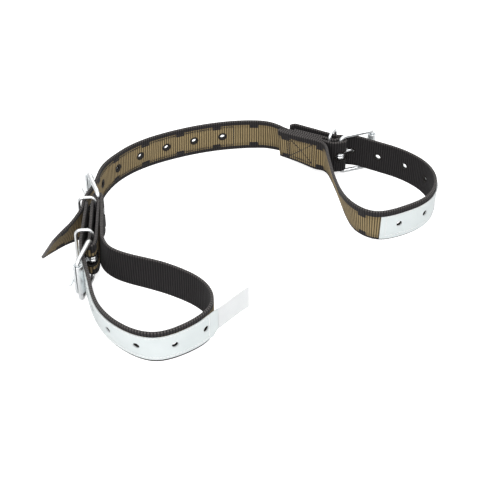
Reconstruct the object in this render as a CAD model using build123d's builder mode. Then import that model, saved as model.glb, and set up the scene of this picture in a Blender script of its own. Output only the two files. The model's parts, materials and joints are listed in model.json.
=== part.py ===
from build123d import *
import math
import os

os.makedirs("parts", exist_ok=True)

# Webbing and the plastic strips sewn on its outer side
WEB_WIDTH = 40.0
WEB_THICK = 3.0
HALF = WEB_THICK / 2
STRIP_THICK = 1.2
STRIP_LIFT = 0.03
STRIP_WIDTH = 31.0
STRIP_LOW = (WEB_WIDTH - STRIP_WIDTH) / 2
MIDDLE = WEB_WIDTH / 2
HOLE_RADIUS = 3.2
HOLE_PITCH = 34.0
SLOT_LENGTH = 21.0
FLEX_GAP = 1.0

# Spacing of the layers in the two sewn stacks
LAYER_STEP = 3.2
KEEPER_GAP = 6.6
FOLD_RADIUS = 3.95
U_FOLD_RADIUS = LAYER_STEP / 2
JOG_RADIUS = 4.0
BEND_RADIUS = 14.0
RIGHT_BEND_RADIUS = 8.0
BAR_SEAT = 1.0
FOLD_SLACK = 2.5

# Roller buckles
FRAME_WIRE = 2.3
FRAME_LOW = -3.5
FRAME_HIGH = WEB_WIDTH - FRAME_LOW
FRAME_REACH = 38.5
HEEL_CORNER = 7.5
END_CORNER = 3.5
ROLLER_RADIUS = 4.75
ROLLER_LOW = 7.0
ROLLER_HIGH = 40.0
RUNNING_GAP = 0.08
SEAM_DEPTH = 0.6
TONGUE_WIRE = 1.7
EYE_RADIUS = FRAME_WIRE + RUNNING_GAP + TONGUE_WIRE
EYE_STEP = 1.6
TONGUE_TIP = 7.0
EYE_SLOT = 11.0

# Wire keepers
KEEPER_WIRE = 1.65
KEEPER_SPAN = 17.0
KEEPER_LOW = FRAME_LOW - FRAME_WIRE + KEEPER_WIRE
KEEPER_HIGH = 45.6
KEEPER_TOP_CORNER = 6.0
KEEPER_LOW_CORNER = 4.0

# Sewing thread and the tag
THREAD = 0.5
THREAD_LIFT = 0.02
TAG_THICK = 0.4
TAG_LENGTH = 49.0
TAG_LOW = 7.0
TAG_HIGH = 33.0

# Left stack: heading of its axis and the places of the two buckles' heel bars
LEFT_HEADING = -87.0
LEFT_AXIS = (-149.9, 0.0)
LEFT_FRAME_1 = 110.0
LEFT_FRAME_2 = -103.0
L3_FREE_END = -16.0
FOLD_1_START = -13.8
FOLD_2_START = 44.6
CUFF_LEAVES_LEFT = 33.0
KEEPER_1_AT = -13.8
KEEPER_2_AT = 41.0

# Right stack: a point and heading of its near face
RIGHT_HEADING = -27.5
RIGHT_FACE = (46.4, 149.4)
RIGHT_FRAME_3 = 20.0
RIGHT_L3_END = 12.0
RIGHT_FOLD_START = 59.0
U_FOLD_AT = -1.3
CUFF_LEAVES_RIGHT = 50.0
SEWN_END = 48.0
KEEPER_3_AT = 56.5



def direction(angle):
    return Vector(math.cos(math.radians(angle)), math.sin(math.radians(angle)), 0)


def left_of(angle):
    return direction(angle + 90)


def smooth(places, ends):
    """A spline through the places whose parameter follows its length."""
    lengths = [0.0]
    for before, after in zip(places, places[1:]):
        lengths.append(lengths[-1] + (after - before).length)
    return Edge.make_spline(places, tangents=ends, parameters=lengths, scale=False)


class Walk:
    """A strap's centre line, drawn on the floor one stretch at a time."""

    def __init__(self, place, heading):
        self.place = Vector(*place)
        self.heading = heading
        self.stretches = []

    def ahead(self, length):
        end = self.place + direction(self.heading) * length
        self.stretches.append(("line", self.place, end))
        self.place = end
        return self

    def turn(self, radius, angle):
        side = 1 if angle > 0 else -1
        centre = self.place + left_of(self.heading) * radius * side
        begin = self.heading - 90 * side
        self.stretches.append(("arc", centre, radius, begin, angle))
        self.heading += angle
        self.place = centre + direction(begin + angle) * radius
        return self

    def jog(self, sideways):
        side = 1 if sideways > 0 else -1
        half_turn = math.acos(1 - abs(sideways) / (2 * JOG_RADIUS))
        angle = math.degrees(half_turn) * side
        return self.turn(JOG_RADIUS, angle).turn(JOG_RADIUS, -angle)

    def curve(self, points, heading):
        places = [self.place] + [Vector(*point) for point in points]
        ends = [direction(self.heading), direction(heading)]
        edge = smooth(places, ends)
        self.stretches.append(("curve", edge))
        self.heading = heading
        self.place = places[-1]
        return edge


def along(edge, distance):
    """Point and heading on a free curve, distance millimetres from its start."""
    point = edge.position_at(distance, position_mode=PositionMode.LENGTH)
    way = edge.tangent_at(distance, position_mode=PositionMode.LENGTH)
    return point, math.degrees(math.atan2(way.Y, way.X))


def draw_beside(edge, offset, start, end):
    """Adds the line that runs beside a free curve, offset to its left."""
    count = max(4, round((end - start) / 7))
    places = []
    for step in range(count + 1):
        point, heading = along(edge, start + (end - start) * step / count)
        places.append(point + left_of(heading) * offset)
    ends = [direction(along(edge, start)[1]), direction(along(edge, end)[1])]
    add(smooth(places, ends))
    return places[0], places[-1]


def draw_stretch(stretch, offset):
    """Adds one stretch of a strap's side and returns its two ends."""
    if stretch[0] == "line":
        start, end = stretch[1], stretch[2]
        across = (end - start).normalized().rotate(Axis.Z, 90) * offset
        Line(start + across, end + across)
        return start + across, end + across
    if stretch[0] == "arc":
        centre, radius, begin, angle = stretch[1:]
        side_radius = radius - offset if angle > 0 else radius + offset
        CenterArc(centre, side_radius, begin, angle)
        first = centre + direction(begin) * side_radius
        return first, centre + direction(begin + angle) * side_radius
    return draw_beside(stretch[1], offset, 0, stretch[1].length)


def ribbon(stretches, right=-HALF, left=HALF):
    """The flat outline of a strap between two offsets of its centre line."""
    with BuildSketch() as outline:
        with BuildLine():
            lefts = [draw_stretch(stretch, left) for stretch in stretches]
            rights = [draw_stretch(stretch, right) for stretch in stretches]
            Line(lefts[0][0], rights[0][0])
            Line(lefts[-1][1], rights[-1][1])
        make_face()
    return outline.sketch


def band(edge, start, end, right, left):
    """The flat outline of a strip that follows part of a free curve."""
    with BuildSketch() as outline:
        with BuildLine():
            lefts = draw_beside(edge, left, start, end)
            rights = draw_beside(edge, right, start, end)
            Line(lefts[0], rights[0])
            Line(lefts[1], rights[1])
        make_face()
    return outline.sketch


def web_plane(point, heading, height=MIDDLE):
    """A plane on the centre of a strap, facing out of its left side."""
    origin = (point.X, point.Y, height)
    return Plane(origin=origin, x_dir=direction(heading), z_dir=left_of(heading))


def punch(edge, distance, length=0):
    """Cuts a round hole, or a slot of the given length, through a strap."""
    point, heading = along(edge, distance)
    with BuildSketch(web_plane(point, heading)) as hole:
        if length:
            SlotOverall(length, 2 * HOLE_RADIUS)
        else:
            Circle(HOLE_RADIUS)
    extrude(hole.sketch, amount=HALF + 4 * STRIP_THICK, both=True, mode=Mode.SUBTRACT)


def cut_eye_slot(heel, heading):
    """Opens the fold around a heel bar for the tongue's eye."""
    back = EYE_RADIUS + TONGUE_WIRE + 0.6
    front = FOLD_SLACK + FOLD_RADIUS + WEB_THICK
    centre = heel + direction(heading) * (front - back) / 2
    with Locations(Location((centre.X, centre.Y, MIDDLE), (0, 0, heading))):
        Box(front + back, 16.0, EYE_SLOT, mode=Mode.SUBTRACT)


def crossing(edge, heel, heading, side, start):
    """Distance along a strap at which a buckle's tongue passes through it."""
    line, tilt = tongue_line(heel, heading, side)
    best = None
    steps = 400
    for step in range(steps + 1):
        distance = start + (edge.length - start) * step / steps
        away = (edge.position_at(distance, position_mode=PositionMode.LENGTH) - line)
        gap = abs(away.dot(left_of(tilt)))
        if best is None or gap < best[0]:
            best = (gap, distance)
    return best[1]


def tongue_line(heel, heading, side):
    """Where a tongue's shank leaves its eye, and its heading."""
    lift = ROLLER_RADIUS + TONGUE_WIRE + 0.1 - EYE_RADIUS
    tilt = heading + side * math.degrees(math.asin(lift / FRAME_REACH))
    return heel + left_of(tilt) * EYE_RADIUS * side, tilt


def place_at(point, heading):
    return Location((point.X, point.Y, 0), (0, 0, heading))


# ---------------------------------------------------------------- the stacks
left_axis = Vector(*LEFT_AXIS)
left_way = direction(LEFT_HEADING)
left_east = left_of(LEFT_HEADING)


def left_point(distance, east):
    return left_axis + left_way * distance + left_east * east


right_face = Vector(*RIGHT_FACE)
right_way = direction(RIGHT_HEADING)
right_far = left_of(RIGHT_HEADING)


def right_point(distance, far):
    return right_face + right_way * distance + right_far * far


HALF_GAP = KEEPER_GAP / 2
HALF_STEP = LAYER_STEP / 2
AXIS_1_EAST = HALF_GAP + HALF_STEP
AXIS_3_FAR = HALF + LAYER_STEP + HALF_GAP


def bar_place(start, heading_in, heading_out, bend_radius, sideways):
    """Heel bar of a buckle on the middle line between two folded layers."""
    middle = Walk(start, heading_in)
    middle.turn(bend_radius, heading_out - heading_in)
    slide = math.acos(1 - sideways / (2 * JOG_RADIUS))
    middle.ahead(2 * JOG_RADIUS * math.sin(slide) + BAR_SEAT)
    return middle.place


WIDE_JOG = FOLD_RADIUS - HALF_STEP
SMALL_JOG = FOLD_RADIUS - HALF_GAP

heel_1 = bar_place(
    left_point(FOLD_1_START, AXIS_1_EAST), LEFT_HEADING + 180, LEFT_FRAME_1, BEND_RADIUS, WIDE_JOG
)
heel_2 = bar_place(left_point(FOLD_2_START, 0), LEFT_HEADING, LEFT_FRAME_2, BEND_RADIUS, SMALL_JOG)
heel_3 = bar_place(
    right_point(RIGHT_FOLD_START, AXIS_3_FAR),
    RIGHT_HEADING,
    RIGHT_FRAME_3,
    RIGHT_BEND_RADIUS,
    SMALL_JOG,
)

# Left cuff strap: free end of the stack, round buckle 2, back, round buckle 1, then the loop
left_walk = Walk(left_point(L3_FREE_END, -HALF_GAP), LEFT_HEADING)
left_walk.ahead(FOLD_2_START - L3_FREE_END)
bend_2 = LEFT_FRAME_2 - LEFT_HEADING
left_walk.turn(BEND_RADIUS - HALF_GAP, bend_2).jog(-SMALL_JOG)
left_walk.ahead(BAR_SEAT + FOLD_SLACK).turn(FOLD_RADIUS, 180).ahead(BAR_SEAT + FOLD_SLACK)
left_walk.jog(SMALL_JOG).turn(BEND_RADIUS + HALF_GAP, -bend_2)
left_walk.ahead(FOLD_2_START - FOLD_1_START)
bend_1 = LEFT_FRAME_1 - LEFT_HEADING - 180
left_walk.turn(BEND_RADIUS - HALF_STEP, bend_1).jog(WIDE_JOG)
left_walk.ahead(BAR_SEAT + FOLD_SLACK).turn(FOLD_RADIUS, -180).ahead(BAR_SEAT + FOLD_SLACK)
left_walk.jog(-WIDE_JOG).turn(BEND_RADIUS + HALF_STEP, -bend_1)
left_walk.ahead(CUFF_LEAVES_LEFT - FOLD_1_START)
left_loop = left_walk.curve(
    [
        (-131, -56.5),
        (-100, -73.8),
        (-59, -93.3),
        (-34.5, -113.5),
        (-26.0, -136),
        (-28.8, -149.5),
        (-47, -167),
        (-79, -180.8),
        (-113, -165.2),
        (-133.5, -140),
        (-144.5, -107),
        (-149.3, -90),
        (-157.0, -62),
        (-159.3, -48),
    ],
    90.5,
)
left_walk.ahead(63.0)

# Right cuff strap: free end of the stack, round buckle 3, back, the U-fold, then the loop
right_walk = Walk(right_point(RIGHT_L3_END, AXIS_3_FAR + HALF_GAP), RIGHT_HEADING)
right_walk.ahead(RIGHT_FOLD_START - RIGHT_L3_END)
bend_3 = RIGHT_FRAME_3 - RIGHT_HEADING
right_walk.turn(RIGHT_BEND_RADIUS - HALF_GAP, bend_3).jog(SMALL_JOG)
right_walk.ahead(BAR_SEAT + FOLD_SLACK).turn(FOLD_RADIUS, -180).ahead(BAR_SEAT + FOLD_SLACK)
right_walk.jog(-SMALL_JOG).turn(RIGHT_BEND_RADIUS + HALF_GAP, -bend_3)
right_walk.ahead(RIGHT_FOLD_START - U_FOLD_AT).turn(U_FOLD_RADIUS, 180)
right_walk.ahead(CUFF_LEAVES_RIGHT - U_FOLD_AT)
right_loop = right_walk.curve(
    [
        (98.4, 112),
        (105.5, 60),
        (121.3, 9.9),
        (141, -2.3),
        (169, 4.6),
        (198, 24.6),
        (211.5, 57),
        (200, 95.5),
        (170.5, 119.4),
        (148, 130.3),
        (124, 140.2),
        (105.9, 141.8),
    ],
    RIGHT_HEADING + 180,
)
right_walk.ahead(46.0).turn(5.0, 60).ahead(3.0)

# Centre strap: sewn end in the right stack, the arc, then the end that runs through buckle 1
RIGHT_FLEX = Vector(42.5, 164.2)
RIGHT_FLEX_HEADING = 143.0
LEFT_FLEX = Vector(-152.4, 67.0)
LEFT_FLEX_HEADING = -97.0
half_gap_in = direction(RIGHT_FLEX_HEADING) * (FLEX_GAP / 2)
half_gap_out = direction(LEFT_FLEX_HEADING) * (FLEX_GAP / 2)

sewn_walk = Walk(right_point(SEWN_END, AXIS_3_FAR), RIGHT_HEADING + 180)
sewn_walk.ahead(SEWN_END - 8.0)
sewn_walk.curve([RIGHT_FLEX - half_gap_in], RIGHT_FLEX_HEADING)

centre_walk = Walk(RIGHT_FLEX + half_gap_in, RIGHT_FLEX_HEADING)
centre_arc = centre_walk.curve(
    [
        (29, 170.8),
        (11.5, 172.5),
        (-34, 166),
        (-80, 149),
        (-123, 121),
        (-144, 93),
        LEFT_FLEX - half_gap_out,
    ],
    LEFT_FLEX_HEADING,
)

buckle_walk = Walk(LEFT_FLEX + half_gap_out, LEFT_FLEX_HEADING)
buckle_run = buckle_walk.curve(
    [(-156.0, 45), (-162.8, 22), (-163.8, 9)], -90.0
)

# Punched holes: the last one of each row takes the tongue
tongue_hole_1 = crossing(buckle_run, heel_1, LEFT_FRAME_1, 1, 0)
tongue_hole_2 = crossing(left_loop, heel_2, LEFT_FRAME_2, -1, left_loop.length - 60)
tongue_hole_3 = crossing(right_loop, heel_3, RIGHT_FRAME_3, 1, right_loop.length - 60)
STRIP_PAST_HOLE = 12.0
LEFT_ROW_SHIFT = -1.0
CENTRE_ROW_SHIFT = 4.0
LEFT_STRIP_START = tongue_hole_2 - LEFT_ROW_SHIFT - 6 * HOLE_PITCH
RIGHT_STRIP_START = tongue_hole_3 - 6 * HOLE_PITCH - 21.0
CENTRE_STRIP_START = 50.0
CENTRE_LAST_HOLE = centre_arc.length + FLEX_GAP + tongue_hole_1 - HOLE_PITCH - CENTRE_ROW_SHIFT
FREE_STRIP_END = 16.5


def strip_holes(edge, last, shift=0):
    """The row of holes of a cuff, the last one long enough for the tongue."""
    punch(edge, last, SLOT_LENGTH)
    for step in range(1, 7):
        punch(edge, last - shift - step * HOLE_PITCH)


# ---------------------------------------------------------------- the straps
with BuildPart() as centre_strap:
    extrude(ribbon(centre_walk.stretches), amount=WEB_WIDTH)
    for step in range(6):
        punch(centre_arc, CENTRE_LAST_HOLE - step * HOLE_PITCH)

with BuildPart() as centre_sewn_end:
    extrude(ribbon(sewn_walk.stretches), amount=WEB_WIDTH)

# The free end past keeper 1 leans over as it runs out, so it is lofted through its end shapes
TAIL_SECTIONS = [
    (Vector(-163.8, 9.0), -90.0, 0.0, MIDDLE),
    (Vector(-166.0, 3.2), -113.0, 5.0, 19.5),
    (Vector(-180.0, -10.0), -128.0, 22.0, 18.0),
    (Vector(-196.2, -34.3), -126.0, 33.0, 15.0),
]


def tail_plane(place, heading, lean, height):
    """Plane of a strap's cross-section, its top leaning left by an angle."""
    up = Vector(0, 0, 1) * math.cos(math.radians(lean))
    over = left_of(heading) * math.sin(math.radians(lean))
    origin = (place.X, place.Y, height)
    return Plane(origin=origin, x_dir=up + over, z_dir=direction(heading))


with BuildPart() as centre_buckle_end:
    extrude(ribbon(buckle_walk.stretches), amount=WEB_WIDTH)
    punch(buckle_run, tongue_hole_1, SLOT_LENGTH)
    for section in TAIL_SECTIONS:
        with BuildSketch(tail_plane(*section)):
            Rectangle(WEB_WIDTH, WEB_THICK)
    loft()

with BuildPart() as left_cuff_strap:
    extrude(ribbon(left_walk.stretches), amount=WEB_WIDTH)
    cut_eye_slot(heel_1, LEFT_FRAME_1)
    cut_eye_slot(heel_2, LEFT_FRAME_2)
    strip_holes(left_loop, tongue_hole_2, LEFT_ROW_SHIFT)

with BuildPart() as right_cuff_strap:
    extrude(ribbon(right_walk.stretches), amount=WEB_WIDTH)
    cut_eye_slot(heel_3, RIGHT_FRAME_3)
    strip_holes(right_loop, tongue_hole_3)


# ------------------------------------------------------- strips on the outside
# The left loop runs clockwise, so its outside is on its left; the others' is on the right
def strip_outline(edge, start, end, side):
    inner = (HALF + STRIP_LIFT) * side
    outer = (HALF + STRIP_THICK) * side
    return band(edge, start, end, min(inner, outer), max(inner, outer))


strip_base = Plane.XY.offset(STRIP_LOW)

with BuildPart() as centre_strip:
    with BuildSketch(strip_base):
        add(strip_outline(centre_arc, CENTRE_STRIP_START, centre_arc.length, -1))
    extrude(amount=STRIP_WIDTH)
    for step in range(6):
        punch(centre_arc, CENTRE_LAST_HOLE - step * HOLE_PITCH)

with BuildPart() as centre_strip_end:
    with BuildSketch(strip_base):
        add(strip_outline(buckle_run, 0, tongue_hole_1 + STRIP_PAST_HOLE, -1))
    extrude(amount=STRIP_WIDTH)
    punch(buckle_run, tongue_hole_1, SLOT_LENGTH)


def cuff_strip(edge, start, end, side, free_end):
    """A strip on a cuff whose first end stands straight off the loop."""
    point, heading = along(edge, start)
    outline = strip_outline(edge, start, end, side)
    if free_end:
        across = left_of(heading) * (HALF + (STRIP_LIFT + STRIP_THICK) / 2) * side
        middle = point + across - direction(heading) * free_end / 2
        straight = Rectangle(free_end, STRIP_THICK - STRIP_LIFT)
        outline += Location((middle.X, middle.Y, 0), (0, 0, heading)) * straight
    return outline


left_outline = cuff_strip(
    left_loop, LEFT_STRIP_START, tongue_hole_2 + STRIP_PAST_HOLE, 1, FREE_STRIP_END
)
with BuildPart() as left_strip:
    with BuildSketch(strip_base):
        add(left_outline)
    extrude(amount=STRIP_WIDTH)
    strip_holes(left_loop, tongue_hole_2, LEFT_ROW_SHIFT)

right_outline = strip_outline(
    right_loop, RIGHT_STRIP_START, tongue_hole_3 + STRIP_PAST_HOLE, -1
)
with BuildPart() as right_strip:
    with BuildSketch(strip_base):
        add(right_outline)
    extrude(amount=STRIP_WIDTH)
    strip_holes(right_loop, tongue_hole_3)

# The tag is held between the left strip's free end and the webbing
tag_root, tag_heading = along(left_loop, LEFT_STRIP_START)
tag_near = tag_root - direction(tag_heading) * (FREE_STRIP_END - 5.0)
tag_middle = tag_near - direction(tag_heading) * TAG_LENGTH / 2
tag_middle += left_of(tag_heading) * (HALF - TAG_THICK / 2 - THREAD_LIFT)
with BuildPart() as tag:
    with Locations(Location((tag_middle.X, tag_middle.Y, (TAG_LOW + TAG_HIGH) / 2), (0, 0, tag_heading))):
        Box(TAG_LENGTH, TAG_THICK, TAG_HIGH - TAG_LOW)


# ------------------------------------------------------------------ hardware
def buckle_frame():
    """Bent wire loop: heel bar at x = 0, roller bar at x = FRAME_REACH."""
    with BuildPart() as frame:
        with BuildLine(Plane.XZ):
            Line((0, MIDDLE), (0, FRAME_HIGH - HEEL_CORNER))
            CenterArc((HEEL_CORNER, FRAME_HIGH - HEEL_CORNER), HEEL_CORNER, 180, -90)
            Line((HEEL_CORNER, FRAME_HIGH), (FRAME_REACH - END_CORNER, FRAME_HIGH))
            CenterArc((FRAME_REACH - END_CORNER, FRAME_HIGH - END_CORNER), END_CORNER, 90, -90)
            Line((FRAME_REACH, FRAME_HIGH - END_CORNER), (FRAME_REACH, FRAME_LOW + END_CORNER))
            CenterArc((FRAME_REACH - END_CORNER, FRAME_LOW + END_CORNER), END_CORNER, 0, -90)
            Line((FRAME_REACH - END_CORNER, FRAME_LOW), (HEEL_CORNER, FRAME_LOW))
            CenterArc((HEEL_CORNER, FRAME_LOW + HEEL_CORNER), HEEL_CORNER, -90, -90)
            Line((0, FRAME_LOW + HEEL_CORNER), (0, MIDDLE))
        with BuildSketch(Plane.XY.offset(MIDDLE)):
            Circle(FRAME_WIRE)
        sweep()
    return frame.part


def roller():
    """Rolled tube that turns on the frame's end bar, with the seam of its sheet."""
    with BuildPart() as tube:
        with BuildSketch(Plane.XY.offset(ROLLER_LOW)):
            Circle(ROLLER_RADIUS)
            Circle(FRAME_WIRE + RUNNING_GAP, mode=Mode.SUBTRACT)
            with Locations((-ROLLER_RADIUS * 0.7, -ROLLER_RADIUS * 0.7)):
                Rectangle(2 * SEAM_DEPTH, SEAM_DEPTH, rotation=45, mode=Mode.SUBTRACT)
        extrude(amount=ROLLER_HIGH - ROLLER_LOW)
    return tube.part


def tongue(side):
    """Two turns of wire round the heel bar and a shank that rests on the roller."""
    line, tilt = tongue_line(Vector(0, 0, 0), 0, side)
    reach = direction(tilt)
    tip = line + reach * (FRAME_REACH + TONGUE_TIP)
    with BuildPart() as wire:
        with Locations((0, 0, MIDDLE - EYE_STEP), (0, 0, MIDDLE + EYE_STEP)):
            Torus(EYE_RADIUS, TONGUE_WIRE)
        with BuildLine():
            Line((line.X, line.Y, MIDDLE), (tip.X, tip.Y, MIDDLE))
        with BuildSketch(Plane(origin=(line.X, line.Y, MIDDLE), z_dir=reach)):
            Circle(TONGUE_WIRE)
        sweep()
        with Locations((tip.X, tip.Y, MIDDLE)):
            Sphere(TONGUE_WIRE)
    return wire.part


def keeper():
    """Closed wire loop: inner leg at y = 0, outer leg at y = KEEPER_SPAN."""
    high, low = KEEPER_HIGH, KEEPER_LOW
    top, foot = KEEPER_TOP_CORNER, KEEPER_LOW_CORNER
    with BuildPart() as loop:
        with BuildLine(Plane.YZ):
            Line((0, MIDDLE), (0, high - top))
            CenterArc((top, high - top), top, 180, -90)
            Line((top, high), (KEEPER_SPAN - top, high))
            CenterArc((KEEPER_SPAN - top, high - top), top, 90, -90)
            Line((KEEPER_SPAN, high - top), (KEEPER_SPAN, low + foot))
            CenterArc((KEEPER_SPAN - foot, low + foot), foot, 0, -90)
            Line((KEEPER_SPAN - foot, low), (foot, low))
            CenterArc((foot, low + foot), foot, -90, -90)
            Line((0, low + foot), (0, MIDDLE))
        with BuildSketch(Plane.XY.offset(MIDDLE)):
            Circle(KEEPER_WIRE)
        sweep()
    return loop.part


# ------------------------------------------------------------------- threads
def thread_rows(edge, start, end, side, surface):
    """Two rows of stitching that follow a strap, one near each edge of the strip."""
    inner = (surface + THREAD_LIFT) * side
    outer = (surface + THREAD_LIFT + THREAD) * side
    outline = band(edge, start, end, min(inner, outer), max(inner, outer))
    with BuildPart() as rows:
        for height in (STRIP_LOW + 2.5, WEB_WIDTH - STRIP_LOW - 3.0):
            with BuildSketch(Plane.XY.offset(height)):
                add(outline)
            extrude(amount=THREAD)
    return rows.part


with BuildPart() as box_stitch:
    corner = right_point(9.0, -THREAD_LIFT)
    face = Plane(origin=(corner.X, corner.Y, MIDDLE), x_dir=right_way, z_dir=-right_far)
    box_length, box_height = 29.0, 26.0
    slope = math.degrees(math.atan2(box_height, box_length))
    diagonal = math.hypot(box_height, box_length)
    with BuildSketch(face):
        with Locations((box_length / 2 + 3, 0)):
            Rectangle(box_length, box_height)
            Rectangle(box_length - 2 * THREAD, box_height - 2 * THREAD, mode=Mode.SUBTRACT)
            Rectangle(diagonal - THREAD, THREAD, rotation=slope)
            Rectangle(diagonal - THREAD, THREAD, rotation=-slope)
        with Locations((0, 0), (box_length + 8, 0)):
            Rectangle(THREAD, 30.0)
    extrude(amount=THREAD)

STRIP_FACE = HALF + STRIP_THICK
centre_thread = thread_rows(centre_arc, CENTRE_STRIP_START + 2, centre_arc.length, 1, HALF)
left_thread = thread_rows(left_loop, LEFT_STRIP_START + 2, tongue_hole_2 - 40, 1, STRIP_FACE)
right_thread = thread_rows(right_loop, RIGHT_STRIP_START + 2, tongue_hole_3 - 40, -1, STRIP_FACE)

# ------------------------------------------------------------------- assembly
pieces = {
    "centre_strap": centre_strap.part,
    "centre_sewn_end": centre_sewn_end.part,
    "centre_buckle_end": centre_buckle_end.part,
    "centre_strip": centre_strip.part,
    "centre_strip_end": centre_strip_end.part,
    "centre_thread": centre_thread,
    "left_cuff_strap": left_cuff_strap.part,
    "left_strip": left_strip.part,
    "left_thread": left_thread,
    "tag": tag.part,
    "right_cuff_strap": right_cuff_strap.part,
    "right_strip": right_strip.part,
    "right_thread": right_thread,
    "box_stitch": box_stitch.part,
}
buckles = {
    "1": (heel_1, LEFT_FRAME_1, 1),
    "2": (heel_2, LEFT_FRAME_2, -1),
    "3": (heel_3, RIGHT_FRAME_3, 1),
}
for number, (heel, heading, side) in buckles.items():
    at_heel = place_at(heel, heading)
    at_end = place_at(heel + direction(heading) * FRAME_REACH, heading)
    pieces["buckle_frame_" + number] = buckle_frame().moved(at_heel)
    pieces["buckle_roller_" + number] = roller().moved(at_end)
    pieces["buckle_tongue_" + number] = tongue(side).moved(at_heel)

keepers = {
    "1": (left_point(KEEPER_1_AT, 0), LEFT_HEADING + 180),
    "2": (left_point(KEEPER_2_AT, 0), LEFT_HEADING + 180),
    "3": (right_point(KEEPER_3_AT, AXIS_3_FAR), RIGHT_HEADING),
}
for number, (leg, heading) in keepers.items():
    pieces["keeper_" + number] = keeper().moved(place_at(leg, heading))

box = Compound(list(pieces.values())).bounding_box()
middle = box.center()
home = Location((-middle.X, -middle.Y, -box.min.Z))
for name, piece in pieces.items():
    placed = piece.moved(home)
    placed.label = name
    export_step(placed, "parts/" + name + ".step")
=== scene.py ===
"""Looks of a livestock leg hobble: woven straps, white strips and zinc buckles on a pale floor.

The straps' paths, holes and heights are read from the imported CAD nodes. Lengths are in metres.
"""
import json
import math

import bpy
import numpy as np
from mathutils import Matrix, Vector


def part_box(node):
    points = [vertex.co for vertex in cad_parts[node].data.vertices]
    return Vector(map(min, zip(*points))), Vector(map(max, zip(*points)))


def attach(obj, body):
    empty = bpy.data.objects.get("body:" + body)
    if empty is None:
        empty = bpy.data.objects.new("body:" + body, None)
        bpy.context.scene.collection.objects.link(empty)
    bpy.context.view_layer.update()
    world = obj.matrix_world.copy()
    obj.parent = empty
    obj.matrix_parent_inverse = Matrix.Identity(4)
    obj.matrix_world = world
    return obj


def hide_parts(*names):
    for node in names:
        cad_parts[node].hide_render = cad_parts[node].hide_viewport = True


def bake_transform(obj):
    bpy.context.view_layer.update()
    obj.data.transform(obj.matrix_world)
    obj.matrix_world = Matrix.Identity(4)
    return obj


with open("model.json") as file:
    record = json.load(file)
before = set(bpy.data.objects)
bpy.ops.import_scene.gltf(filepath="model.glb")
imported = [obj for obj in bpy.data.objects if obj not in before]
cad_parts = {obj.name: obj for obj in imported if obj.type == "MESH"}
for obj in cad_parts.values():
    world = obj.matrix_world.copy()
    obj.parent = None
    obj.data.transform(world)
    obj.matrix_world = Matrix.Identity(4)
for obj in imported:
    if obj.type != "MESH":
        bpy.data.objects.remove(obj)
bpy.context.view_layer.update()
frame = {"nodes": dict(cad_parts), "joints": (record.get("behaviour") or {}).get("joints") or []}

MM = 0.001
WEB_LOW, WEB_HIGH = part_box("left_cuff_strap")[0].z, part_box("left_cuff_strap")[1].z
WEB_WIDTH = WEB_HIGH - WEB_LOW
WEB_MIDDLE = (WEB_LOW + WEB_HIGH) / 2
WEB_THICK = 3.0 * MM
STRIP_THICK = 1.0 * MM
STRIP_NODE_THICK = 1.17 * MM
TAG_THICK = 0.35 * MM

POINT_STEP = 0.2 * MM
# Lengths of the cuffs' straps from the end of the stack to their tips
LEFT_LOOP_LENGTH = 469 * MM
RIGHT_LOOP_LENGTH = 451 * MM

# Weave
RIB_PITCH = 2.7 * MM
RIB_HEIGHT = 0.18 * MM
YARN_PITCH = 0.62 * MM
ALONG_STEP = RIB_PITCH / 6
BORDER = 5.3 * MM
NOTCH_DEPTH = 4.4 * MM
NOTCH_LENGTH = 10.0 * MM
NOTCH_PITCH = 44.0 * MM

# Sewing
STITCH_PITCH = 3.2 * MM
STITCH_LENGTH = 2.9 * MM
STITCH_RADIUS = 0.55 * MM
ROW_LOW = WEB_LOW + 7.0 * MM
ROW_HIGH = WEB_HIGH - 7.0 * MM

# Rollers
ROLLER_WALL = 1.0 * MM
ROLLER_SEAM = 250
ROLLER_GAP = 14


# ------------------------------------------------------------------ paths of the straps
def outline_edges(node, level):
    """Edges of a node's flat underside that lie on its outline, as pairs of points."""
    mesh = frame["nodes"][node].data
    places = np.array([v.co for v in mesh.vertices])
    used = {}
    for polygon in mesh.polygons:
        corners = list(polygon.vertices)
        if np.abs(places[corners, 2] - level).max() > 1e-5:
            continue
        keys = [tuple(np.round(places[c, :2], 6)) for c in corners]
        for a, b in zip(keys, keys[1:] + keys[:1]):
            pair = (min(a, b), max(a, b))
            used[pair] = used.get(pair, 0) + 1
    return [pair for pair, count in used.items() if count == 1]


def outline_loop(node, level):
    """The outline of a node's underside as one closed run of points."""
    beside = {}
    for a, b in outline_edges(node, level):
        beside.setdefault(a, []).append(b)
        beside.setdefault(b, []).append(a)
    start = min(beside)
    loop = [start]
    before, here = None, start
    while True:
        onward = [p for p in beside[here] if p != before]
        before, here = here, onward[0]
        if here == start:
            return np.array(loop)
        loop.append(here)


def end_edges(loop, thickness):
    """Indices of the two short square edges that close a strap's outline."""
    ahead = np.roll(loop, -1, axis=0) - loop
    length = np.linalg.norm(ahead, axis=1)
    way = ahead / length[:, None]
    back = np.roll(way, 1, axis=0)
    turn = back[:, 0] * way[:, 1] - back[:, 1] * way[:, 0]
    bend = np.degrees(np.arctan2(turn, (back * way).sum(1)))
    ends = []
    for index in range(len(loop)):
        following = (index + 1) % len(loop)
        sharp = min(abs(bend[index]), abs(bend[following])) > 70
        same_way = bend[index] * bend[following] > 0
        if sharp and same_way and abs(length[index] - thickness) < 0.25 * thickness:
            ends.append(index)
    return ends


def even(points, step):
    """The same run of points, taken again at an even step."""
    lengths = np.concatenate([[0], np.cumsum(np.linalg.norm(np.diff(points, axis=0), axis=1))])
    count = max(8, int(round(lengths[-1] / step)))
    at = np.linspace(0, lengths[-1], count + 1)
    columns = [np.interp(at, lengths, column) for column in points.T]
    return np.stack(columns, axis=1)


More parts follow.
